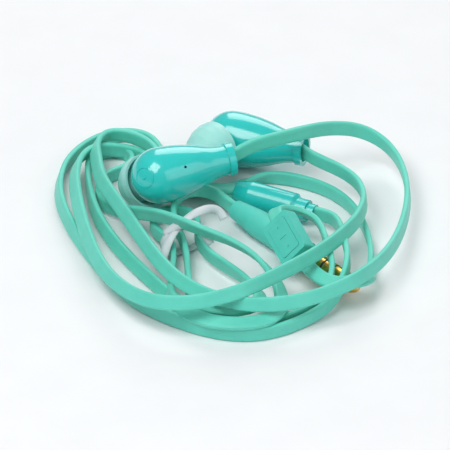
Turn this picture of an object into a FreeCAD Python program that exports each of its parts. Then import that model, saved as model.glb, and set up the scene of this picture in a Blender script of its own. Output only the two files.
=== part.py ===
import FreeCAD, Part
import math
import os

# Wired in-ear earphones with flat cable, lying coiled on a surface.
# Millimetres. +Z up. The origin is on the surface, under the middle of the two earbuds.

V = FreeCAD.Vector

# Earbud: a round head that tapers to a stem. Its own X runs from the head's centre along the stem,
# and the nozzle leaves the head's underside, leaning away from the stem.
HEAD_R = 5.3
WALL = 0.8
STEM_R = 2.75
STEM_LIP_R = 3.1
STEM_LIP_START = 13.2
STEM_END = 14.5
STEM_BORE_R = 1.75
MOUTH_R = 2.3
SLEEVE_START = 11.2
SLEEVE_END = 13.6
COVER_END = 9.5
NOZZLE_ANGLE = 115.0
NOZZLE_SHIFT = 1.5
NOZZLE_R = 2.5
NOZZLE_BORE_R = 1.7
NOZZLE_END = 10.2
TIP_FIT = 0.05
TIP_R = 5.25
TIP_START = 6.0
TIP_END = 12.2
TIP_HOLE_R = 1.9
TIP_WALL = 0.7
TIP_TRAVEL = 3.5
TIP_ROOM = 0.6
VENT_R = 0.25

# Dynamic driver, on the nozzle's axis, measured from the head's centre towards the nozzle.
DRIVER_R = 3.7
BASKET_BACK = -1.0
BASKET_FRONT = 1.25
DIAPHRAGM_T = 0.15
COIL_R = 1.55
COIL_WALL = 0.25
YOKE_R = 2.6
YOKE_GAP_R = 2.0
YOKE_BACK = -1.6
YOKE_FLOOR = 0.5
MAGNET_R = 1.3
MAGNET_T = 0.8
POLE_R = 1.4
POLE_T = 0.4

# Where each earbud lies: head centre, stem direction, and about where its nozzle points.
BUDS = {
    "left": (V(-10.29, -9.5, 9.45), V(0.95, 0.303, 0.069), V(-0.55, 0.56, -0.62)),
    "right": (V(3.41, 9.5, 5.31), V(0.94, -0.34, 0.05), V(-0.76, -0.62, 0.12)),
}

# Flat cable, 2.8 wide and 1.0 thick. Its solid is a round tube of about the same section.
TUBE_D = 1.8

# Y-splitter, lying on the surface.
SPLITTER_BACK = V(4.3, -4.8, 2.8)
SPLITTER_DIR = V(11.2, -5.7, 0)
SPLITTER_R = 2.7
SPLITTER_NECK_R = 2.0
SPLITTER_TAPER = 3.0
SPLITTER_LENGTH = 12.6
COLLAR_R = 2.1
COLLAR_LENGTH = 2.2
COLLAR_NOSE_R = 1.6
COLLAR_NOSE_LENGTH = 1.5

# In-line microphone box. Its own X runs along its length and Z out of its face.
MIC_CENTRE = V(13.8, -27.7, 7.4)
MIC_LONG = V(3.65, -7.07, -3.07)
MIC_FACE = V(-31.2, -28.1, 27.6)
MIC_LENGTH = 9.0
MIC_WIDTH = 6.2
MIC_DEPTH = 3.0
MIC_WALL = 0.5
MIC_CORNER = 0.5
MIC_SEAM = 1.5
BUTTON_LENGTH = 7.0
BUTTON_WIDTH = 4.4
BUTTON_GAP = 0.06
BUTTON_PROUD = 0.08
BUTTON_FLANGE = 0.35
BUTTON_FLANGE_T = 0.4
BUTTON_PLAY = 0.1
BOARD_T = 0.8
SWITCH_R = 1.5
SWITCH_T = 0.3
MARK_R = 0.22
MARK_DEPTH = 0.12
MARK_SPACING = 2.2
MARK_BAR = 1.5

# Four-pole plug, 3.5 in diameter and 14 long, with its overmould.
PLUG_BACK = V(4.1, -10.9, 2.8)
PLUG_DIR = V(0.645, -0.764, 0)
OVERMOULD_LENGTH = 21.0
OVERMOULD_R = 2.6
OVERMOULD_NECK_R = 1.8
OVERMOULD_TAPER = 6.0
CONTACT_R = 1.75
CORE_R = 1.0
INSULATOR_T = 0.5
SLEEVE_LENGTH = 4.7
RING_LENGTH = 2.0
TIP_LENGTH = 3.8

# Loose coil of cable: outer and inner ellipses, which aren't concentric.
COIL_TOP = 8.5
COIL_ROUND = 1.2
COIL_OUTER = (V(2.9, -16.3, 0), 33.5, 35.5)
COIL_INNER = (V(4.4, -11.9, 0), 26.0, 26.9)
PLUG_CHANNEL_R = 2.6
SOCKET_DEPTH = 15.0

# Tied hank of spare cable, inside the coil, and the twist tie round it.
HANK_OUTLINE = [(-11.6, -15.8), (-5.4, -15.3), (-2.6, -21.2), (4.9, -40.8), (-7.1, -40.8), (-9.0, -22.8)]
HANK_BOTTOM = 1.0
HANK_TOP = 5.6
HANK_ROUND = 1.0
TIE_CENTRE = V(-6.1, -20.9, 3.3)
TIE_DIR = V(0.45, -0.9, 0)
TIE_WIDTH = 2.2
TIE_THICK = 0.7
TIE_SPAN = 7.2
TIE_HEIGHT = 5.0
TIE_WIRE_D = 1.4

# Cable routes where it isn't coiled, each a list of points from its fitting.
ROUTES = {
    "left_lead": [(8.9, -2.6, 11.8), (16.9, 2.4, 12.2), (24.9, 5.8, 10.4), (29.4, 5.4, 7.6)],
    "right_lead": [(19.5, 1.6, 5.6), (23.9, -3, 5.0), (28.4, -5.8, 4.4), (31.2, -9.8, 4.2)],
    "left_tail": [(0.5, -3.8, 3.5), (-4.5, -4, 2.9), (-8.6, 0.2, 2.8), (-11.4, 5.2, 2.8), (-15.4, 8.2, 3.0)],
    "right_tail": [(0.5, -3.8, 1.5), (-4.5, -4, 1.05), (-8.6, 0.2, 1.0), (-11.4, 5.2, 1.0), (-15.4, 8.2, 1.1)],
    "main_lead": [(22.1, -14.2, 2.6), (24.9, -18.4, 2.4), (25.5, -23.8, 2.4), (26.4, -28.2, 3.0)],
    "mic_lead": [(17.0, -33.4, 4.9), (18.8, -37.0, 4.3)],
    "mic_tail": [(11.0, -20.0, 9.8), (14.6, -16.8, 7.8), (19.2, -18.2, 5.2), (22.4, -23.0, 4.2), (24.4, -30.8, 4.8)],
    "plug_lead": [(0, -7.4, 2.8), (-4.7, -7.2, 2.6), (-8.5, -10.8, 2.6), (-8.5, -16.8, 3.0)],
}


def unit(vector):
    """The vector at length 1."""
    return vector * (1.0 / vector.Length)


def frame_at(origin, x_dir, z_hint):
    """Placement matrix with X along x_dir and Z as near z_hint as it can be."""
    x = unit(x_dir)
    y = unit(z_hint.cross(x))
    z = x.cross(y)
    return FreeCAD.Matrix(x.x, y.x, z.x, origin.x, x.y, y.y, z.y, origin.y, x.z, y.z, z.z, origin.z, 0, 0, 0, 1)


def placed(shape, matrix):
    """A copy of the shape, moved from its own frame into the object's."""
    moved = shape.copy()
    moved.transformShape(matrix)
    return moved


def turned(profile):
    """Solid of revolution about X. The profile is a list of (x, radius) corners, closed along the axis."""
    points = [V(x, r, 0) for x, r in profile]
    closed = [V(profile[0][0], 0, 0)] + points + [V(profile[-1][0], 0, 0)]
    corners = [closed[0]]
    for point in closed[1:]:
        if (point - corners[-1]).Length > 1e-6:
            corners.append(point)
    face = Part.Face(Part.makePolygon(corners + [corners[0]]))
    return face.revolve(V(0, 0, 0), V(1, 0, 0), 360)


def rod(radius, start, end, axis=V(1, 0, 0), base=V(0, 0, 0)):
    """Cylinder along an axis, between two distances from its base point."""
    return Part.makeCylinder(radius, end - start, base + axis * start, axis)


def ring(outer, inner, start, end, axis=V(1, 0, 0), base=V(0, 0, 0)):
    """Tube along an axis."""
    return rod(outer, start, end, axis, base).cut(rod(inner, start, end, axis, base))


def block(length, width, low, high, corner=0.0):
    """Box centred on Z, with rounded upright edges."""
    box = Part.makeBox(length, width, high - low, V(-length / 2, -width / 2, low))
    if corner:
        upright = [e for e in box.Edges if abs(e.tangentAt(e.FirstParameter).z) > 0.9]
        box = box.makeFillet(corner, upright)
    return box


def head_and_stem(inset, end, end_r):
    """Round head that tapers smoothly into the stem, all set in by the same wall."""
    r = HEAD_R - inset
    arc = Part.Arc(V(-r, 0, 0), V(-r * math.sqrt(0.5), r * math.sqrt(0.5), 0), V(0, r, 0))
    taper = Part.BSplineCurve()
    taper.interpolate(
        Points=[V(0, r, 0), V(4.0, r - 0.35, 0), V(8.0, r - 1.3, 0), V(end, end_r, 0)],
        InitialTangent=V(1, 0, 0), FinalTangent=V(1, -0.05, 0))
    sides = [arc.toShape(), taper.toShape()]
    sides.append(Part.makeLine(V(end, end_r, 0), V(end, 0, 0)))
    sides.append(Part.makeLine(V(end, 0, 0), V(-r, 0, 0)))
    return Part.Face(Part.Wire(sides)).revolve(V(0, 0, 0), V(1, 0, 0), 360)


def bud_housings(nozzle, base):
    """Front shell with the nozzle, and rear shell with the stem, split along the bud's length."""
    outside = head_and_stem(0.0, STEM_LIP_START, STEM_R)
    outside = outside.fuse(rod(STEM_LIP_R, STEM_LIP_START, STEM_END))
    inside = head_and_stem(WALL, SLEEVE_START, STEM_R - WALL)
    inside = inside.fuse(rod(STEM_BORE_R, SLEEVE_START, STEM_END))
    inside = inside.fuse(rod(MOUTH_R, SLEEVE_END, STEM_END))
    shell = outside.cut(inside)
    tube = rod(NOZZLE_R, 0, NOZZLE_END, nozzle, base)
    half = Part.makeBox(COVER_END + 10, 20, 20, V(-10, -10, -20))
    front = shell.common(half).fuse(tube.common(half).cut(head_and_stem(WALL, SLEEVE_START, STEM_R - WALL)))
    front = front.cut(rod(NOZZLE_BORE_R, 0, NOZZLE_END, nozzle, base))
    rear = shell.cut(half).cut(rod(VENT_R, 0, 10, V(0, 0, 1), V(4.2, 0, 0)))
    return front, rear


def nozzle_dir():
    """Direction of the nozzle in the bud's own frame, whose X is the stem."""
    lean = math.radians(NOZZLE_ANGLE)
    return V(math.cos(lean), 0, -math.sin(lean))


def tip_path(side):
    """Space that one ear tip needs as it slides off its nozzle, with room to spare."""
    centre, stem, toward = BUDS[side]
    sweep = rod(TIP_R + TIP_ROOM, TIP_START, TIP_END + TIP_TRAVEL + TIP_ROOM)
    sweep = placed(sweep, frame_at(V(NOZZLE_SHIFT, 0, 0), nozzle_dir(), V(0, 1, 0)))
    return placed(sweep, frame_at(centre, stem, toward * -1.0))


def ear_tip():
    """Silicone mushroom tip about X: a thin dome over a core tube, with an open skirt."""
    core_r = NOZZLE_R + TIP_FIT
    outer = [(TIP_START, TIP_R), (TIP_START + 1.4, TIP_R - 0.05), (TIP_START + 3.0, TIP_R - 0.5),
             (TIP_START + 4.6, TIP_R - 1.4), (TIP_END - 0.4, TIP_R - 2.65), (TIP_END, TIP_R - 3.0)]
    hollow = [(TIP_START, TIP_R - 0.45), (TIP_START + 1.4, TIP_R - 0.55), (TIP_START + 2.8, TIP_R - 1.15),
              (TIP_START + 3.8, core_r + TIP_WALL)]
    dome = turned(outer).cut(turned(hollow))
    core = rod(core_r + TIP_WALL, TIP_START, TIP_END - 1.2)
    tip = dome.fuse(core)
    tip = tip.cut(rod(core_r, TIP_START - 1, NOZZLE_END + TIP_FIT))
    return tip.cut(rod(TIP_HOLE_R, NOZZLE_END, TIP_END + 1)).removeSplitter()


def driver():
    """The dynamic driver about X, as its separate pieces."""
    face = BASKET_FRONT - DIAPHRAGM_T - 0.2
    basket = ring(DRIVER_R, DRIVER_R - 0.45, BASKET_BACK, BASKET_FRONT)
    basket = basket.fuse(ring(DRIVER_R, YOKE_R, BASKET_BACK, BASKET_BACK + 0.4)).removeSplitter()
    yoke = rod(YOKE_R, YOKE_BACK, 0.0).cut(rod(YOKE_GAP_R, YOKE_BACK + YOKE_FLOOR, 0.0))
    magnet_front = YOKE_BACK + YOKE_FLOOR + MAGNET_T
    return {
        "basket": basket,
        "diaphragm": rod(DRIVER_R - 0.45, face, face + DIAPHRAGM_T),
        "voice_coil": ring(COIL_R + COIL_WALL, COIL_R, YOKE_BACK + YOKE_FLOOR + 0.5, face),
        "yoke": yoke,
        "magnet": rod(MAGNET_R, YOKE_BACK + YOKE_FLOOR, magnet_front),
        "top_plate": rod(POLE_R, magnet_front, magnet_front + POLE_T),
    }


def strain_relief():
    """Soft sleeve in the stem's end, with the slot that the flat cable passes through."""
    sleeve = rod(STEM_BORE_R, SLEEVE_START, SLEEVE_END)
    slot = Part.makeBox(SLEEVE_END, 1.0, 2.8, V(SLEEVE_START - 1, -0.5, -1.4))
    return sleeve.cut(slot)


def earbud(side):
    """Every piece of one earbud, in place."""
    centre, stem, toward = BUDS[side]
    matrix = frame_at(centre, stem, toward * -1.0)
    nozzle = nozzle_dir()
    base = V(NOZZLE_SHIFT, 0, 0)
    on_nozzle = frame_at(base, nozzle, V(0, 1, 0))
    on_head = frame_at(V(0, 0, 0), nozzle, V(0, 1, 0))
    front, rear = bud_housings(nozzle, base)
    pieces = {"front_housing": front, "rear_housing": rear, "strain_relief": strain_relief()}
    pieces["ear_tip"] = placed(ear_tip(), on_nozzle)
    pieces["nozzle_mesh"] = placed(rod(NOZZLE_BORE_R, NOZZLE_END - 0.6, NOZZLE_END - 0.4), on_nozzle)
    for name, piece in driver().items():
        pieces[name] = placed(piece, on_head)
    return {side + "_" + name: placed(piece, matrix) for name, piece in pieces.items()}


def splitter():
    """Tapered round body that joins the two side cables, and its stepped outlet collar."""
    matrix = frame_at(SPLITTER_BACK, SPLITTER_DIR, V(0, 0, 1))
    body = turned([(0, SPLITTER_NECK_R), (SPLITTER_TAPER, SPLITTER_R), (SPLITTER_LENGTH - 0.6, SPLITTER_R),
                   (SPLITTER_LENGTH, SPLITTER_R - 0.6)])
    step = SPLITTER_LENGTH + COLLAR_LENGTH
    nose = step + COLLAR_NOSE_LENGTH
    collar = turned([(SPLITTER_LENGTH, COLLAR_R), (step, COLLAR_R), (step, COLLAR_NOSE_R), (nose, COLLAR_NOSE_R)])
    exit_point = matrix.multVec(V(nose, 0, 0))
    pieces = {"splitter_body": placed(body, matrix), "splitter_collar": placed(collar, matrix)}
    return pieces, exit_point


def mic_button():
    """Press plate with a retaining flange, two shallow dots and a short bar between them."""
    top = MIC_DEPTH + BUTTON_PROUD
    under = MIC_DEPTH - MIC_WALL - BUTTON_PLAY
    plate = block(BUTTON_LENGTH - 2 * BUTTON_GAP, BUTTON_WIDTH - 2 * BUTTON_GAP, under - BUTTON_FLANGE_T, top, 0.4)
    flange = block(BUTTON_LENGTH + 2 * BUTTON_FLANGE, BUTTON_WIDTH + 2 * BUTTON_FLANGE, under - BUTTON_FLANGE_T, under)
    button = plate.fuse(flange)
    for side in (-1, 1):
        button = button.cut(rod(MARK_R, 0, 1, V(0, 0, 1), V(side * MARK_SPACING, 0, top - MARK_DEPTH)))
    bar = Part.makeBox(MARK_R, MARK_BAR, 1, V(-MARK_R / 2, -MARK_BAR / 2, top - MARK_DEPTH))
    return button.cut(bar)


def mic_box():
    """In-line microphone box: two shells, press plate, board, switch and microphone."""
    matrix = frame_at(MIC_CENTRE, MIC_LONG, MIC_FACE)
    lift = FreeCAD.Matrix()
    lift.move(V(0, 0, -MIC_DEPTH / 2))
    matrix = matrix.multiply(lift)
    cavity = block(MIC_LENGTH - 2 * MIC_WALL, MIC_WIDTH - 2 * MIC_WALL, MIC_WALL, MIC_DEPTH - MIC_WALL)
    window = block(BUTTON_LENGTH, BUTTON_WIDTH, 0, MIC_DEPTH + 1, 0.4 + BUTTON_GAP)
    base = block(MIC_LENGTH, MIC_WIDTH, 0, MIC_SEAM, MIC_CORNER).cut(cavity)
    cover = block(MIC_LENGTH, MIC_WIDTH, MIC_SEAM, MIC_DEPTH, MIC_CORNER).cut(cavity).cut(window)
    board_top = MIC_WALL + BOARD_T
    board = block(MIC_LENGTH - 2 * MIC_WALL - 0.2, MIC_WIDTH - 2 * MIC_WALL - 0.2, MIC_WALL, board_top)
    capsule = block(2.2, 1.6, board_top, board_top + SWITCH_T)
    capsule.translate(V(-2.7, 0, 0))
    pieces = {
        "mic_base": base,
        "mic_cover": cover,
        "mic_button": mic_button(),
        "mic_board": board,
        "mic_switch": rod(SWITCH_R, board_top, board_top + SWITCH_T, V(0, 0, 1)),
        "mic_capsule": capsule,
    }
    ends = [matrix.multVec(V(side * MIC_LENGTH / 2, 0, MIC_DEPTH / 2)) for side in (1, -1)]
    return {name: placed(piece, matrix) for name, piece in pieces.items()}, ends


def plug():
    """Four-pole plug: overmould, sleeve, two rings and tip round one insulating core."""
    matrix = frame_at(PLUG_BACK, PLUG_DIR, V(0, 0, 1))
    start = OVERMOULD_LENGTH
    sleeve_end = start + SLEEVE_LENGTH
    ring_2 = sleeve_end + INSULATOR_T
    ring_1 = ring_2 + RING_LENGTH + INSULATOR_T
    tip = ring_1 + RING_LENGTH + INSULATOR_T
    overmould = turned([(0, OVERMOULD_NECK_R), (OVERMOULD_TAPER, OVERMOULD_R), (start - 0.8, OVERMOULD_R),
                        (start, OVERMOULD_R - 0.5)])
    core = rod(CORE_R, start, tip)
    for gap in (sleeve_end, ring_2 + RING_LENGTH, ring_1 + RING_LENGTH):
        core = core.fuse(rod(CONTACT_R, gap, gap + INSULATOR_T))
    waist = tip + TIP_LENGTH * 0.4
    nose = turned([(tip, CONTACT_R), (tip + 0.5, CONTACT_R), (waist, 1.15), (waist + 0.6, 1.6),
                   (tip + TIP_LENGTH - 0.7, 1.1), (tip + TIP_LENGTH, 0.4)])
    pieces = {
        "plug_overmould": overmould,
        "plug_insulator": core,
        "plug_sleeve": ring(CONTACT_R, CORE_R, start, sleeve_end),
        "plug_ring_2": ring(CONTACT_R, CORE_R, ring_2, ring_2 + RING_LENGTH),
        "plug_ring_1": ring(CONTACT_R, CORE_R, ring_1, ring_1 + RING_LENGTH),
        "plug_tip": nose,
    }
    return {name: placed(piece, matrix) for name, piece in pieces.items()}, matrix, tip + TIP_LENGTH


def coil(plug_matrix, plug_end):
    """Outer shape of the loose loops: an uneven elliptical band, cut away for a socket on the plug and for the left ear tip."""
    discs = []
    for centre, along_x, along_y in (COIL_OUTER, COIL_INNER):
        tall = along_y > along_x
        ellipse = Part.Ellipse(V(0, 0, 0), max(along_x, along_y), min(along_x, along_y))
        disc = Part.Face(Part.Wire(ellipse.toShape()))
        if tall:
            disc.rotate(V(0, 0, 0), V(0, 0, 1), 90)
        disc.translate(centre)
        discs.append(disc)
    band = discs[0].cut(discs[1]).extrude(V(0, 0, COIL_TOP))
    top = [e for e in band.Edges if e.BoundBox.ZMin > COIL_TOP - 0.01]
    band = band.makeFillet(COIL_ROUND, top)
    channel_start = OVERMOULD_LENGTH - 2
    channel_length = plug_end + SOCKET_DEPTH - channel_start
    channel = rod(PLUG_CHANNEL_R, channel_start, channel_start + channel_length)
    depth = 2 * PLUG_BACK.z
    channel = channel.fuse(Part.makeBox(channel_length, 2 * PLUG_CHANNEL_R, depth,
                                        V(channel_start, -PLUG_CHANNEL_R, -depth)))
    return band.cut(placed(channel, plug_matrix)).cut(tip_path("left"))


def hank(around):
    """Outer shape of the tied spare cable. Its end lies against the coil."""
    corners = [V(x, y, HANK_BOTTOM) for x, y in HANK_OUTLINE]
    bundle = Part.Face(Part.makePolygon(corners + [corners[0]])).extrude(V(0, 0, HANK_TOP - HANK_BOTTOM))
    bundle = bundle.makeFillet(HANK_ROUND, bundle.Edges)
    return bundle.cut(around)


def twist_tie(around):
    """Paper-covered wire: a flat loop round the hank, a knot on top and two short ends."""
    matrix = frame_at(TIE_CENTRE, TIE_DIR, V(0, 0, 1))
    loop = Part.makeBox(TIE_WIDTH, TIE_SPAN + 2 * TIE_THICK, TIE_HEIGHT + 2 * TIE_THICK,
                        V(-TIE_WIDTH / 2, -TIE_SPAN / 2 - TIE_THICK, -TIE_HEIGHT / 2 - TIE_THICK))
    loop = loop.makeFillet(1.2, [e for e in loop.Edges if abs(e.tangentAt(e.FirstParameter).x) > 0.9])
    top = TIE_HEIGHT / 2 + TIE_THICK
    knot = Part.makeSphere(TIE_WIRE_D, V(0, 0, top))
    end_1 = Part.makeCylinder(TIE_WIRE_D / 2, 4.5, V(0, 0, top + 0.3), V(-0.6, 0.7, 0.25))
    end_2 = Part.makeCylinder(TIE_WIRE_D / 2, 4.5, V(0, 0, top + 0.3), V(0.7, -0.6, 0.1))
    tie = placed(loop.fuse([knot, end_1, end_2]), matrix)
    return tie.cut(around)


def route_wire(name, points):
    """Straight runs joined by tangent arcs. Each arc is as large as its two runs allow."""
    edges = []
    radii = []
    last = points[0]
    for before, here, after in zip(points, points[1:], points[2:]):
        back = unit(before - here)
        ahead = unit(after - here)
        half_turn = (math.pi - back.getAngle(ahead)) / 2
        reach = 0.45 * min((before - here).Length, (after - here).Length)
        radius = reach / math.tan(half_turn)
        radii.append(radius)
        centre = here + unit(back + ahead) * (radius / math.cos(half_turn))
        start = here + back * reach
        end = here + ahead * reach
        middle = centre + unit(here - centre) * radius
        edges.append(Part.LineSegment(last, start).toShape())
        edges.append(Part.Arc(start, middle, end).toShape())
        last = end
    edges.append(Part.LineSegment(last, points[-1]).toShape())
    print(name, "radii", " ".join("%.1f" % r for r in radii))
    return Part.Wire(edges)


def tube(name, points):
    """Round tube along a route, checked against its section times its length."""
    path = route_wire(name, points)
    section = Part.Wire(Part.makeCircle(TUBE_D / 2, points[0], unit(points[1] - points[0])))
    solid = path.makePipeShell([section], True, False)
    expected = math.pi * (TUBE_D / 2) ** 2 * path.Length
    print(name, "length %.1f, volume %.2f, section times length %.2f" % (path.Length, solid.Volume, expected))
    return solid


def cables(starts):
    """Every stretch of cable that isn't in the coil or the hank."""
    solids = {}
    for name, points in ROUTES.items():
        route = [starts[name]] + [V(x, y, z) for x, y, z in points]
        solids[name] = tube(name, route)
    return solids


def main():
    pieces = {}
    starts = {}
    for side in BUDS:
        pieces.update(earbud(side))
        centre, stem, toward = BUDS[side]
        starts[side + "_lead"] = centre + unit(stem) * SLEEVE_END
    earbuds = Part.makeCompound(list(pieces.values()))
    box = earbuds.BoundBox
    print("earbuds: middle %.3f %.3f, lowest %.3f" % (box.Center.x, box.Center.y, box.ZMin))

    split, outlet = splitter()
    pieces.update(split)
    starts["main_lead"] = outlet
    for side, lift in (("left", 0.95), ("right", -0.95)):
        starts[side + "_tail"] = SPLITTER_BACK + V(0, 0, lift)
    mic, ends = mic_box()
    pieces.update(mic)
    starts["mic_lead"], starts["mic_tail"] = ends
    jack, plug_matrix, plug_end = plug()
    pieces.update(jack)
    starts["plug_lead"] = PLUG_BACK
    pieces["coil"] = coil(plug_matrix, plug_end)
    pieces["hank"] = hank(pieces["coil"])
    pieces["twist_tie"] = twist_tie(pieces["hank"])
    pieces.update(cables(starts))

    os.makedirs("parts", exist_ok=True)
    for name, piece in pieces.items():
        if not piece.isValid() or piece.Volume <= 0:
            print(name, "isn't a sound solid")
        piece.exportStep("parts/" + name + ".step")
    print(len(pieces), "nodes")


main()
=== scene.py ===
import bpy
import bmesh
import math
from mathutils import Vector, Matrix


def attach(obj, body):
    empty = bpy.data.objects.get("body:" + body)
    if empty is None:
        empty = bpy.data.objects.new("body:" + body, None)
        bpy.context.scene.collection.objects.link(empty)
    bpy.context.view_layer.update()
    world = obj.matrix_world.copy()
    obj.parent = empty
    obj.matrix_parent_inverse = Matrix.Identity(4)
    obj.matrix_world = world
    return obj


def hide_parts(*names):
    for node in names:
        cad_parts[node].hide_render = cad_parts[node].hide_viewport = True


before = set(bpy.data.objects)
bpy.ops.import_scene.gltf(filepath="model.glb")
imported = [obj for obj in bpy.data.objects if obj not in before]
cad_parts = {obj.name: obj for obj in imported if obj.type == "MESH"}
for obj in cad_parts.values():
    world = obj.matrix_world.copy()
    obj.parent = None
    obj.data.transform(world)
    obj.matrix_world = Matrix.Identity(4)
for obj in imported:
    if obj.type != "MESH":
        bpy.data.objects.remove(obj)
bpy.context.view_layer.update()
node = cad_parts


# Studio: a wide flat pale floor, a large soft light at the front left with a weaker one at the right and one
# behind, and a camera that looks down on the earphones from the front.
CAMERA_RISE = math.radians(33.5)
CAMERA_AWAY = 2.0
AIM = Vector((0.002, -0.0165, 0.003))
VIEW_WIDTH = 0.084


def srgb(red, green, blue):
    """Linear colour of an 8-bit screen colour."""
    return tuple(((level / 255 + 0.055) / 1.055) ** 2.4 for level in (red, green, blue)) + (1.0,)


def grain_group():
    """Soft noise on the piece itself: a tone from 0 to 1 and a shallow bump, at a given scale."""
    group = bpy.data.node_groups.new("fine_grain", "ShaderNodeTree")
    group.interface.new_socket("Scale", in_out="INPUT", socket_type="NodeSocketFloat")
    group.interface.new_socket("Depth", in_out="INPUT", socket_type="NodeSocketFloat")
    group.interface.new_socket("Tone", in_out="OUTPUT", socket_type="NodeSocketFloat")
    group.interface.new_socket("Normal", in_out="OUTPUT", socket_type="NodeSocketVector")
    entry = group.nodes.new("NodeGroupInput")
    result = group.nodes.new("NodeGroupOutput")
    place = group.nodes.new("ShaderNodeTexCoord")
    noise = group.nodes.new("ShaderNodeTexNoise")
    noise.inputs["Detail"].default_value = 3.0
    bump = group.nodes.new("ShaderNodeBump")
    group.links.new(place.outputs["Object"], noise.inputs["Vector"])
    group.links.new(entry.outputs["Scale"], noise.inputs["Scale"])
    group.links.new(noise.outputs["Fac"], bump.inputs["Height"])
    group.links.new(entry.outputs["Depth"], bump.inputs["Distance"])
    group.links.new(noise.outputs["Fac"], result.inputs["Tone"])
    group.links.new(bump.outputs["Normal"], result.inputs["Normal"])
    return group


fine_grain = grain_group()


def finish(name, light, dark, rough, spread, scale, depth, metallic=0.0, coat=0.0):
    """Material whose colour drifts between two tones, with fine grain in its roughness and surface."""
    paint = bpy.data.materials.new(name)
    paint.use_nodes = True
    tree = paint.node_tree
    shader = tree.nodes["Principled BSDF"]
    broad = tree.nodes.new("ShaderNodeGroup")
    broad.node_tree = fine_grain
    broad.inputs["Scale"].default_value = scale / 9
    fine = tree.nodes.new("ShaderNodeGroup")
    fine.node_tree = fine_grain
    fine.inputs["Scale"].default_value = scale
    fine.inputs["Depth"].default_value = depth
    drift = tree.nodes.new("ShaderNodeMix")
    drift.data_type = "RGBA"
    drift.inputs["A"].default_value = dark
    drift.inputs["B"].default_value = light
    span = tree.nodes.new("ShaderNodeMapRange")
    span.inputs["To Min"].default_value = rough - spread
    span.inputs["To Max"].default_value = rough + spread
    tree.links.new(broad.outputs["Tone"], drift.inputs["Factor"])
    tree.links.new(drift.outputs["Result"], shader.inputs["Base Color"])
    tree.links.new(fine.outputs["Tone"], span.inputs["Value"])
    tree.links.new(span.outputs["Result"], shader.inputs["Roughness"])
    tree.links.new(fine.outputs["Normal"], shader.inputs["Normal"])
    shader.inputs["Metallic"].default_value = metallic
    shader.inputs["Coat Weight"].default_value = coat
    shader.inputs["Coat Roughness"].default_value = 0.08
    return paint


def pale_floor():
    """Wide flat floor sheet."""
    bpy.ops.object.select_all(action="DESELECT")
    bpy.ops.mesh.primitive_plane_add(size=1.0)
    floor = bpy.context.object
    floor.name = "studio_floor"
    floor.scale = (6.0, 6.0, 1.0)
    bpy.ops.object.transform_apply(scale=True)
    floor.data.materials.append(finish("pale_paper", srgb(238, 240, 242), srgb(232, 234, 236),
                                       0.9, 0.04, 900.0, 0.00001))


def soft_light(name, place, aim, size, power):
    """Square area light, aimed at a point."""
    lamp = bpy.data.lights.new(name, "AREA")
    lamp.size = size
    lamp.energy = power
    holder = bpy.data.objects.new(name, lamp)
    holder.location = place
    holder.rotation_euler = (Vector(aim) - Vector(place)).to_track_quat("-Z", "Y").to_euler()
    bpy.context.collection.objects.link(holder)


pale_floor()
soft_light("key_light", (-0.25, -0.30, 0.70), (0, -0.01, 0), 0.50, 4.3)
soft_light("fill_light", (0.55, -0.45, 0.40), (0, -0.01, 0), 0.60, 1.4)
soft_light("back_light", (0.10, 0.60, 0.45), (0, 0, 0), 0.50, 2.4)

sky = bpy.data.worlds.new("studio_sky")
sky.use_nodes = True
sky.node_tree.nodes["Background"].inputs["Color"].default_value = (1.0, 1.0, 1.0, 1.0)
sky.node_tree.nodes["Background"].inputs["Strength"].default_value = 0.30
bpy.context.scene.world = sky
bpy.context.scene.view_settings.view_transform = "Standard"

lens = bpy.data.cameras.new("camera")
lens.sensor_width = 36.0
lens.lens = 36.0 * CAMERA_AWAY / VIEW_WIDTH
lens.clip_start = 0.01
eye = bpy.data.objects.new("camera", lens)
eye.location = AIM + Vector((0, -math.cos(CAMERA_RISE), math.sin(CAMERA_RISE))) * CAMERA_AWAY
eye.rotation_euler = (math.pi / 2 - CAMERA_RISE, 0, 0)
bpy.context.collection.objects.link(eye)
bpy.context.scene.camera = eye


# Flat cable: two cores side by side in a soft matt skin, 2.8 mm wide and 1 mm thick. It mostly stands on
# its edge. Each cable is one closed ribbon, swept along a smooth line, and leans where it crosses itself.
CABLE_WIDTH = 0.0028
CABLE_THICK = 0.00105
CABLE_EDGE = 0.00034
STEP_PER_POINT = 9


def smooth_line(points):
    """Points along the NURBS curve that has the given control points."""
    curve = bpy.data.curves.new("line", "CURVE")
    curve.dimensions = "3D"
    curve.resolution_u = STEP_PER_POINT
    spline = curve.splines.new("NURBS")
    spline.points.add(len(points) - 1)
    for slot, point in zip(spline.points, points):
        slot.co = (point[0], point[1], point[2], 1.0)
    spline.order_u = 3
    spline.use_endpoint_u = True
    holder = bpy.data.objects.new("line", curve)
    mesh = bpy.data.meshes.new_from_object(holder)
    line = [vertex.co.copy() for vertex in mesh.vertices]
    bpy.data.objects.remove(holder)
    bpy.data.curves.remove(curve)
    bpy.data.meshes.remove(mesh)
    return line


def shell_piece(name, shell, material):
    """Object made of a finished shell, whose faces are turned outwards."""
    bmesh.ops.recalc_face_normals(shell, faces=shell.faces)
    mesh = bpy.data.meshes.new(name)
    shell.to_mesh(mesh)
    shell.free()
    mesh.materials.append(material)
    piece = bpy.data.objects.new(name, mesh)
    bpy.context.collection.objects.link(piece)
    return piece


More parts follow.
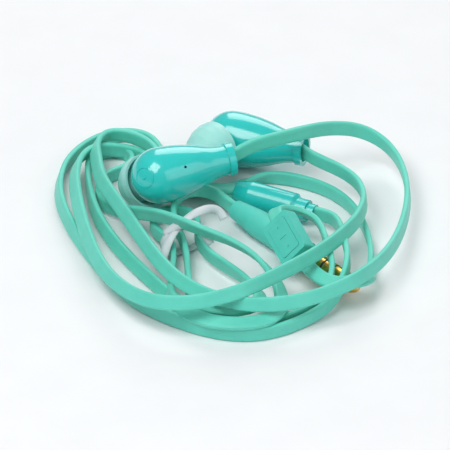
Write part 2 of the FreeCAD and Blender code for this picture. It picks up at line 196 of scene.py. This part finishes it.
def ribbon_section():
    """Outline of the cable's cut end: a flat rounded oblong with a shallow groove down each face."""
    half_w = CABLE_WIDTH / 2
    half_t = CABLE_THICK / 2
    corner = CABLE_EDGE
    outline = []
    for side_w, side_t, first in ((1, 1, 0), (-1, 1, 90), (-1, -1, 180), (1, -1, 270)):
        for turn in (0, 30, 60, 90):
            angle = math.radians(first + turn)
            outline.append((side_w * (half_w - corner) + corner * math.cos(angle),
                            side_t * (half_t - corner) + corner * math.sin(angle)))
        if side_w != -side_t:
            groove = 0.00045 * side_w
            for across, deep in ((groove, 0.0), (0.0, 0.00006), (-groove, 0.0)):
                outline.append((across, side_t * (half_t - deep)))
    return outline


def ribbon(name, route, paint):
    """Flat cable along (x, y, z, lean) points in mm and degrees: 0 stands on edge, 90 lies flat."""
    line = smooth_line([(x * 0.001, y * 0.001, z * 0.001) for x, y, z, lean in route])
    leans = [math.radians(point.x) for point in smooth_line([(lean, 0, 0) for x, y, z, lean in route])]
    outline = ribbon_section()
    shell = bmesh.new()
    along = shell.loops.layers.uv.new("along")
    rings = []
    lengths = [0.0]
    for index, centre in enumerate(line):
        before = line[max(index - 1, 0)]
        after = line[min(index + 1, len(line) - 1)]
        heading = (after - before).normalized()
        flat = heading.cross(Vector((0, 0, 1))).normalized()
        upright = flat.cross(heading)
        lean = leans[index]
        width = upright * math.cos(lean) + flat * math.sin(lean)
        thick = flat * math.cos(lean) - upright * math.sin(lean)
        rings.append([shell.verts.new(centre + width * w + thick * t) for w, t in outline])
        if index:
            lengths.append(lengths[-1] + (centre - line[index - 1]).length)
    count = len(outline)
    for index in range(len(rings) - 1):
        for spot in range(count):
            after = (spot + 1) % count
            face = shell.faces.new((rings[index][spot], rings[index][after],
                                    rings[index + 1][after], rings[index + 1][spot]))
            corners = ((spot, index), (spot + 1, index), (spot + 1, index + 1), (spot, index + 1))
            for loop, (around, row) in zip(face.loops, corners):
                loop[along].uv = (around / count, lengths[row] / CABLE_WIDTH)
            face.smooth = True
    shell.faces.new(list(reversed(rings[0])))
    shell.faces.new(rings[-1])
    return shell_piece(name, shell, paint), line, lengths[-1]


cable_skin = finish("cable_skin", srgb(100, 216, 196), srgb(82, 199, 179), 0.5, 0.07, 2600.0, 0.000012)
cable_skin.node_tree.nodes["Principled BSDF"].inputs["Sheen Weight"].default_value = 0.15


def drawn_lines(paint):
    """Faint lengthwise lines that the die leaves on the skin, from the ribbon's own UV map."""
    tree = paint.node_tree
    along = tree.nodes.new("ShaderNodeUVMap")
    along.uv_map = "along"
    stretch = tree.nodes.new("ShaderNodeMapping")
    stretch.inputs["Scale"].default_value = (46.0, 0.35, 1.0)
    streak = tree.nodes.new("ShaderNodeTexNoise")
    streak.inputs["Scale"].default_value = 1.0
    relief = tree.nodes.new("ShaderNodeBump")
    relief.inputs["Distance"].default_value = 0.00002
    shader = tree.nodes["Principled BSDF"]
    grain = shader.inputs["Normal"].links[0].from_socket
    tree.links.new(along.outputs["UV"], stretch.inputs["Vector"])
    tree.links.new(stretch.outputs["Vector"], streak.inputs["Vector"])
    tree.links.new(streak.outputs["Fac"], relief.inputs["Height"])
    tree.links.new(grain, relief.inputs["Normal"])
    tree.links.new(relief.outputs["Normal"], shader.inputs["Normal"])


drawn_lines(cable_skin)

LEFT_ROUTE = [
    (2.64, -5.38, 10.4, 6), (4.2, -4.6, 11.2, 0), (7.7, -2.4, 11.8, -4), (12.2, -0.6, 12.0, -6),
    (17.3, 2.3, 11.6, -6), (21.8, 6.1, 10.0, -4), (26.9, 8.7, 8.0, 0), (31.4, 8.0, 6.0, 4),
    (34.6, 3.6, 4.8, 6), (36.2, -3.7, 4.4, 6), (36.2, -12.4, 4.4, 6), (34.5, -22.9, 4.9, 8),
    (31.4, -32.7, 6.1, 12), (26.6, -41.0, 7.3, 18), (21.0, -45.4, 7.1, 22), (15.0, -47.8, 6.7, 22),
    (9.0, -48.4, 6.4, 20), (3.1, -47.2, 6.2, 20), (-2.4, -43.6, 5.8, 24), (-7.0, -38.9, 5.9, 30),
    (-10.6, -32.9, 6.2, 34), (-14.1, -24.2, 6.2, 36), (-17.6, -14.8, 6.0, 36), (-21.3, -5.4, 5.6, 36),
    (-22.2, 2.5, 5.0, 36), (-22.6, 8.9, 4.6, 30), (-20.5, 12.4, 4.4, 16), (-17.0, 12.7, 4.2, 4),
    (-13.4, 10.6, 4.0, 0), (-11.1, 7.3, 4.0, 0), (-10.2, 3.5, 3.8, 0), (-7.8, -0.4, 3.5, 20),
    (-4.6, -3.4, 3.3, 60), (-0.4, -4.3, 3.3, 84), (4.3, -4.8, 3.35, 90)]

RIGHT_ROUTE = [
    (16.18, 4.88, 6.0, 0), (17.3, 3.1, 6.0, 0), (20.0, 1.0, 5.7, 0), (24.1, -1.7, 5.3, 0),
    (27.1, -5.4, 5.0, 2), (28.3, -10.8, 5.0, 6), (27.2, -17.8, 5.8, 14), (24.7, -24.4, 6.9, 20),
    (20.9, -31.3, 7.9, 24), (16.3, -37.2, 8.5, 26), (10.9, -42.7, 8.9, 26), (5.8, -46.9, 8.9, 26),
    (0.3, -49.3, 8.4, 24), (-5.6, -49.6, 7.6, 24), (-11.5, -47.9, 6.8, 24), (-16.3, -42.8, 5.8, 26),
    (-20.0, -36.0, 5.0, 30), (-22.5, -28.0, 4.6, 34), (-24.4, -19.0, 4.4, 36), (-25.8, -9.7, 4.3, 36),
    (-26.4, -1.3, 4.2, 34), (-25.5, 4.8, 4.0, 26), (-22.7, 9.2, 3.2, 10), (-18.9, 10.3, 2.4, 2),
    (-15.2, 9.9, 2.0, 0), (-12.6, 7.8, 1.9, 0), (-11.4, 4.4, 1.6, 0), (-9.0, 0.6, 1.6, 10),
    (-6.0, -3.0, 1.8, 45), (-2.0, -4.4, 2.2, 80), (4.3, -4.8, 2.25, 90)]

left_cable, left_line, left_length = ribbon("left_cable", LEFT_ROUTE, cable_skin)
right_cable, right_line, right_length = ribbon("right_cable", RIGHT_ROUTE, cable_skin)

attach(left_cable, "earphones")
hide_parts("left_lead", "left_tail")
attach(right_cable, "earphones")
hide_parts("right_lead", "right_tail")

MAIN_ROUTE = [
    (18.83, -12.19, 2.8, 0), (20.7, -13.0, 2.9, 0), (23.0, -15.8, 3.4, 0), (24.3, -24.2, 4.9, 4),
    (24.9, -32.6, 5.7, 6), (23.8, -38.1, 4.4, 8), (21.4, -42.0, 2.2, 4), (17.3, -45.7, 1.5, 0),
    (12.2, -49.3, 1.45, 0), (6.7, -51.0, 1.45, 0), (0.3, -50.1, 1.45, 0), (-6.1, -46.8, 1.45, 4),
    (-12.5, -42.1, 1.6, 10), (-18.4, -34.9, 1.8, 14), (-23.2, -24.7, 1.9, 18), (-27.1, -14.8, 1.9, 20),
    (-29.5, -4.3, 1.8, 20), (-28.7, 5.0, 1.7, 14), (-25.5, 11.4, 1.6, 6), (-21.1, 15.7, 1.5, 0),
    (-16.1, 17.1, 1.5, 0), (-12.0, 15.2, 1.5, 0), (-9.9, 10.3, 1.5, 0), (-8.0, 4.0, 1.5, 30),
    (-5.6, -0.2, 1.15, 68), (-1.6, -1.9, 0.75, 86), (3.0, -0.8, 0.75, 86), (6.6, 1.6, 1.35, 55),
    (10.2, 2.2, 1.5, 10), (14.5, 1.5, 1.5, 0), (19.5, -0.9, 1.5, 0), (23.7, -4.6, 1.5, 0),
    (26.9, -10.4, 1.5, 4), (28.8, -18.0, 1.6, 8), (29.4, -25.0, 1.8, 10), (29.2, -31.0, 2.6, 18),
    (28.9, -35.6, 4.2, 40), (26.8, -38.9, 5.5, 60), (23.4, -40.0, 5.5, 66), (20.4, -38.4, 5.2, 66),
    (18.4, -35.6, 5.1, 62), (16.9, -33.0, 5.3, 62), (15.6, -30.8, 5.9, 62), (13.8, -27.7, 7.4, 62),
    (12.0, -24.2, 8.9, 62), (11.1, -21.2, 9.2, 60), (12.4, -18.3, 8.0, 55), (15.5, -17.1, 6.8, 44),
    (18.6, -18.4, 6.0, 30), (20.1, -21.8, 5.8, 14), (20.7, -25.8, 5.7, 4), (21.6, -29.8, 5.2, 0),
    (22.0, -35.3, 4.8, 0), (20.6, -40.6, 3.4, 0), (17.4, -43.4, 1.8, 0), (12.6, -46.4, 1.45, 0),
    (7.4, -47.6, 1.45, 0), (2.0, -46.6, 1.45, 0), (-3.3, -43.4, 1.45, 6), (-8.3, -38.3, 1.6, 14),
    (-13.8, -29.9, 1.8, 20), (-18.9, -20.6, 1.9, 22), (-22.3, -11.0, 1.9, 16), (-23.5, -2.6, 1.8, 6),
    (-23.9, 2.8, 1.7, 0), (-23.7, 7.0, 1.6, 0), (-22.2, 10.2, 1.5, 0), (-19.2, 11.4, 1.5, 0),
    (-16.2, 10.1, 1.5, 0), (-15.2, 7.0, 1.5, 0), (-16.8, 4.4, 1.5, 0), (-19.8, 2.6, 1.5, 0),
    (-21.7, -0.6, 1.5, 0), (-21.9, -4.6, 1.6, 0), (-20.6, -8.2, 1.9, 0), (-17.4, -11.6, 2.8, 2),
    (-13.4, -15.2, 4.8, 6), (-9.6, -19.4, 6.9, 10), (-5.6, -24.0, 8.3, 16), (-1.5, -26.4, 8.0, 24),
    (3.1, -28.2, 7.2, 32), (7.7, -31.5, 6.2, 36), (11.2, -36.2, 4.6, 46), (12.6, -41.4, 3.8, 60),
    (12.3, -46.2, 3.7, 68), (9.4, -49.7, 3.7, 70), (4.0, -50.7, 3.7, 70), (-1.6, -49.4, 3.6, 64),
    (-6.2, -45.4, 3.4, 44), (-8.4, -39.6, 2.8, 18), (-8.0, -32.8, 2.2, 4), (-7.4, -26.6, 2.0, 0),
    (-7.9, -21.4, 2.2, 0), (-10.6, -18.2, 2.2, 0), (-11.9, -14.6, 2.0, 0), (-10.6, -11.3, 1.9, 0),
    (-7.4, -10.0, 1.9, 0), (-4.2, -11.3, 1.9, 0), (-2.9, -14.6, 2.0, 0), (-3.4, -19.4, 2.2, 0),
    (-1.4, -25.4, 2.4, 0), (3.2, -31.0, 2.6, 6), (7.0, -36.0, 2.9, 26), (8.8, -40.6, 3.4, 50),
    (7.8, -44.4, 3.7, 66), (3.6, -46.2, 3.7, 70), (-1.2, -44.8, 3.6, 60), (-4.4, -40.2, 2.8, 24),
    (-4.9, -33.6, 2.2, 4), (-5.0, -27.0, 2.0, 0), (-5.7, -21.0, 2.2, 0), (-7.2, -16.4, 2.6, 0),
    (-7.8, -12.4, 3.6, 0), (-6.8, -8.3, 4.4, 0), (-3.6, -5.9, 4.2, 0), (0.0, -6.2, 3.4, 0),
    (2.1, -8.5, 2.9, 0), (4.1, -10.9, 2.8, 0)]
main_cable, main_line, main_length = ribbon("main_cable", MAIN_ROUTE, cable_skin)
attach(main_cable, "earphones")
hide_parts("main_lead", "mic_lead", "mic_tail", "plug_lead", "coil", "hank")


# Twist tie: a strip of pale waxed paper on a wire, bound round the spare cable, crossed and twisted on top.
# Its two ends stick out, one of them curled over.
TIE_WIDTH = 0.0016
TIE_THICK = 0.00032
STRANDS = Vector((0.447, -0.894, 0.0))

tie_paper = finish("tie_paper", srgb(226, 231, 235), srgb(196, 203, 208), 0.62, 0.12, 3200.0, 0.00003)
tie_paper.node_tree.nodes["Principled BSDF"].inputs["Subsurface Weight"].default_value = 0.1


def strip(name, route, closed=False):
    """Paper strip along (x, y, z, twist) points in mm and degrees, with its wire as a ridge."""
    line = smooth_line([(x * 0.001, y * 0.001, z * 0.001) for x, y, z, twist in route])
    twists = [math.radians(point.x) for point in smooth_line([(twist, 0, 0) for x, y, z, twist in route])]
    half_w = TIE_WIDTH / 2
    half_t = TIE_THICK / 2
    outline = [(half_w, -half_t * 0.5), (half_w, half_t * 0.5), (0.0004, half_t * 0.7), (0.0, half_t * 2.2),
               (-0.0004, half_t * 0.7), (-half_w, half_t * 0.5), (-half_w, -half_t * 0.5),
               (-0.0004, -half_t * 0.7),
               (0.0, -half_t * 2.2), (0.0004, -half_t * 0.7)]
    shell = bmesh.new()
    rings = []
    for index, centre in enumerate(line):
        heading = (line[min(index + 1, len(line) - 1)] - line[max(index - 1, 0)]).normalized()
        across = (STRANDS - heading * STRANDS.dot(heading)).normalized()
        across = Matrix.Rotation(twists[index], 3, heading) @ across
        out = heading.cross(across)
        rings.append([shell.verts.new(centre + across * w + out * t) for w, t in outline])
    count = len(outline)
    for index in range(len(rings) - 1):
        for spot in range(count):
            after = (spot + 1) % count
            shell.faces.new((rings[index][spot], rings[index][after],
                             rings[index + 1][after], rings[index + 1][spot]))
    shell.faces.new(list(reversed(rings[0])))
    shell.faces.new(rings[-1])
    for face in shell.faces:
        face.smooth = True
    piece = shell_piece(name, shell, tie_paper)
    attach(piece, "earphones")
    return piece


tie_wrap = strip("tie_wrap", [
    (-5.4, -22.0, 6.3, 0), (-8.6, -23.4, 5.9, 0), (-9.9, -23.9, 3.6, 0), (-9.3, -23.6, 1.0, 0),
    (-6.1, -21.6, 0.5, 0), (-2.9, -20.0, 0.9, 0), (-2.2, -19.7, 3.4, 0), (-3.2, -20.2, 5.9, 0),
    (-6.0, -21.6, 6.7, 0)])
tie_tail_up = strip("tie_tail_up", [
    (-10.2, -29.0, 1.0, 60), (-9.4, -26.8, 3.4, 40), (-7.8, -23.8, 6.0, 10), (-5.2, -21.0, 7.5, 0),
    (-2.8, -19.2, 7.9, 30), (-0.4, -18.0, 7.8, 70), (1.2, -18.0, 7.0, 100), (1.8, -19.0, 6.0, 120)])
tie_tail_down = strip("tie_tail_down", [
    (-9.4, -22.8, 5.4, 0), (-7.0, -22.9, 7.2, 20), (-4.4, -23.4, 8.0, 60), (-2.2, -24.4, 7.2, 100),
    (-0.6, -26.0, 5.0, 130)])
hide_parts("twist_tie")


# Earbud shells: glossy moulded plastic with a clear hard skin, the collar round the cable in the same colour.
# A ring with a dot is moulded on the rounded back of each head.
def paint(material, *names):
    """Gives carried-over pieces one material."""
    for name in names:
        for place in node[name].material_slots:
            place.material = material


gloss_teal = finish("gloss_teal", srgb(46, 208, 202), srgb(34, 192, 187), 0.2, 0.05, 2200.0, 0.000004,
                    coat=0.7)
paint(gloss_teal, "left_front_housing", "left_rear_housing", "right_front_housing", "right_rear_housing")


RING_STEPS = 56
DOT_STEPS = 24
RING_PROFILE = ((0.315, 5.15), (0.330, 5.46), (0.376, 5.46), (0.391, 5.15))
DOT_PROFILE = ((0.090, 5.15), (0.070, 5.46))


def ring_mark(name, centre, stem, toward):
    """Low raised ring round a dot, on the head's round back; profiles are angles and radii in mm."""
    stem = stem.normalized()
    out = (-toward - stem * (-toward).dot(stem)).normalized()
    axis = (out - stem).normalized()
    side = axis.cross(Vector((0, 0, 1))).normalized()
    up = side.cross(axis)
    shell = bmesh.new()

    def on_head(step, steps, wide, tall):
        turn = math.tau * step / steps
        spoke = side * math.cos(turn) + up * math.sin(turn)
        return shell.verts.new((centre + (axis * math.cos(wide) + spoke * math.sin(wide)) * tall) * 0.001)

    rows = [[on_head(step, RING_STEPS, wide, tall) for wide, tall in RING_PROFILE]
            for step in range(RING_STEPS)]
    low, high = [[on_head(step, DOT_STEPS, wide, tall) for step in range(DOT_STEPS)]
                 for wide, tall in DOT_PROFILE]
    for step in range(RING_STEPS):
        after = rows[(step + 1) % RING_STEPS]
        for spot in range(len(RING_PROFILE)):
            beside = (spot + 1) % len(RING_PROFILE)
            shell.faces.new((rows[step][spot], rows[step][beside], after[beside], after[spot]))
    for step in range(DOT_STEPS):
        after = (step + 1) % DOT_STEPS
        shell.faces.new((low[step], low[after], high[after], high[step]))
    shell.faces.new(high)
    shell.faces.new(list(reversed(low)))
    piece = shell_piece(name, shell, gloss_teal)
    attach(piece, "earphones")


ring_mark("left_ring_mark", Vector((-10.29, -9.5, 9.45)), Vector((0.95, 0.303, 0.069)),
          Vector((-0.55, 0.56, -0.62)))
ring_mark("right_ring_mark", Vector((3.41, 9.5, 5.31)), Vector((0.94, -0.34, 0.05)),
          Vector((-0.76, -0.62, 0.12)))


# Ear tips: soft pale silicone that lets a little light through, with a faint haze of handling.
silicone = finish("silicone", srgb(168, 229, 222), srgb(150, 219, 212), 0.48, 0.1, 1500.0, 0.00001)
silicone.node_tree.nodes["Principled BSDF"].inputs["Subsurface Weight"].default_value = 0.2
silicone.node_tree.nodes["Principled BSDF"].inputs["Subsurface Scale"].default_value = 0.001
paint(silicone, "left_ear_tip", "right_ear_tip")


# Soft matt mouldings: the sleeve in each stem, the microphone box with its press plate, and the plug's grip.
matt_mint = finish("matt_mint", srgb(92, 212, 197), srgb(76, 197, 182), 0.58, 0.08, 3600.0, 0.000016)
paint(matt_mint, "left_strain_relief", "right_strain_relief", "mic_cover", "mic_base", "mic_button",
      "plug_overmould")


# Splitter: the same glossy plastic as the shells, its colour painted a touch darker as shade, for the shadow
# it lies in among the cables.
splitter_shaded_gloss = finish("splitter_shaded_gloss", srgb(42, 202, 196), srgb(30, 184, 178), 0.24, 0.05, 2200.0,
                        0.000004, coat=0.5)
paint(splitter_shaded_gloss, "splitter_body", "splitter_collar")


# Plug contacts: gold plate with fine turned rings of wear, parted by black plastic rings.
gold = finish("gold", srgb(236, 196, 106), srgb(214, 168, 78), 0.24, 0.1, 5200.0, 0.000005, metallic=1.0)
paint(gold, "plug_sleeve", "plug_ring_1", "plug_ring_2", "plug_tip")
black_plastic = finish("black_plastic", srgb(30, 31, 33), srgb(22, 23, 25), 0.5, 0.08, 2800.0, 0.00001)
paint(black_plastic, "plug_insulator", "left_basket", "right_basket")


# Driver and nozzle guard, inside each bud: steel, sintered magnet, clear film, copper wire and a fine mesh.
steel = finish("steel", srgb(190, 193, 196), srgb(168, 171, 175), 0.34, 0.1, 4200.0, 0.00001, metallic=1.0)
paint(steel, "left_top_plate", "left_yoke", "right_top_plate", "right_yoke", "mic_capsule", "mic_switch")
magnet = finish("magnet", srgb(120, 122, 126), srgb(98, 100, 104), 0.45, 0.12, 3800.0, 0.00002, metallic=1.0)
paint(magnet, "left_magnet", "right_magnet")
film = finish("film", srgb(214, 206, 176), srgb(200, 190, 158), 0.28, 0.06, 1800.0, 0.000005)
paint(film, "left_diaphragm", "right_diaphragm")
copper = finish("copper", srgb(205, 120, 76), srgb(170, 92, 54), 0.36, 0.1, 6000.0, 0.00002, metallic=1.0)
paint(copper, "left_voice_coil", "right_voice_coil")

steel_mesh = finish("steel_mesh", srgb(176, 179, 183), srgb(150, 153, 157), 0.4, 0.1, 3200.0, 0.00001,
                    metallic=1.0)
cells = steel_mesh.node_tree.nodes.new("ShaderNodeTexVoronoi")
cells.inputs["Scale"].default_value = 2600.0
grid_place = steel_mesh.node_tree.nodes.new("ShaderNodeTexCoord")
sunk = steel_mesh.node_tree.nodes.new("ShaderNodeBump")
sunk.inputs["Distance"].default_value = 0.00008
steel_mesh.node_tree.links.new(grid_place.outputs["Object"], cells.inputs["Vector"])
steel_mesh.node_tree.links.new(cells.outputs["Distance"], sunk.inputs["Height"])
steel_mesh.node_tree.links.new(sunk.outputs["Normal"],
                               steel_mesh.node_tree.nodes["Principled BSDF"].inputs["Normal"])
paint(steel_mesh, "left_nozzle_mesh", "right_nozzle_mesh")


# Circuit board inside the microphone box: green solder mask.
board = finish("board", srgb(38, 108, 62), srgb(28, 88, 50), 0.38, 0.06, 2400.0, 0.00001)
paint(board, "mic_board")
